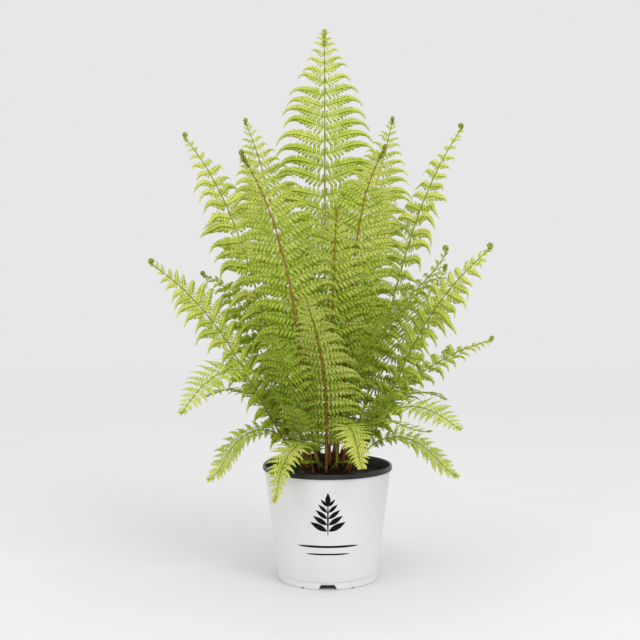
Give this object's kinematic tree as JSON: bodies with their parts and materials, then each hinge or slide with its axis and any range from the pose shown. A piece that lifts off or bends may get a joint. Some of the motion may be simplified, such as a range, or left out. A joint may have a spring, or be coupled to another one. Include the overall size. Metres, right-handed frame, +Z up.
{
  "type": "potted fern",
  "caption": "Leafy fern with arching, twice-divided fronds and coiled tips, growing from a scaly crown in a tapered white nursery pot filled with dark potting mix.",
  "frame": {"origin": "centre of the pot's foot ring, on the surface that the pot stands on", "axes": "+Z up, -Y towards the front of the plant, +X to the right seen from the front"},
  "size_m": [0.7262, 0.5487, 1.1832],
  "materials": {
    "pot_shell": "smooth white moulded plastic with a faint satin sheen, black inside and on the rolled rim",
    "soil": "moist bark-based potting mix, dark, crumbly and matte",
    "crown": "fibrous brown rootstock with papery scales and broken stalk stubs",
    "frond": "thin fresh green leaf tissue, soft satin, slightly translucent, on brownish stalks"
  },
  "bodies": {
    "root": {"pot": "pot_shell", "potting_mix": "soil", "crown": "crown", "back_centre": "frond", "centre": "frond", "front_centre": "frond", "mid_left": "frond", "mid_right": "frond", "left_outer": "frond", "right_outer": "frond", "left_upright": "frond", "right_upright": "frond", "back_left_tall": "frond", "back_right_tall": "frond", "right_middle": "frond", "left_inner": "frond", "right_inner": "frond", "left_middle": "frond", "right_side": "frond", "left_low": "frond", "right_low": "frond", "left_lowest": "frond", "right_lowest": "frond", "front_left_droop": "frond", "front_right_droop": "frond", "right_slender": "frond", "rear_left": "frond", "rear_right": "frond", "rear_low_left": "frond", "rear_low_right": "frond", "rear_low": "frond", "young_left": "frond", "young_right": "frond", "young_far_left": "frond", "young_far_right": "frond", "sprout_left": "frond", "sprout_right": "frond"}
  },
  "joints": []
}
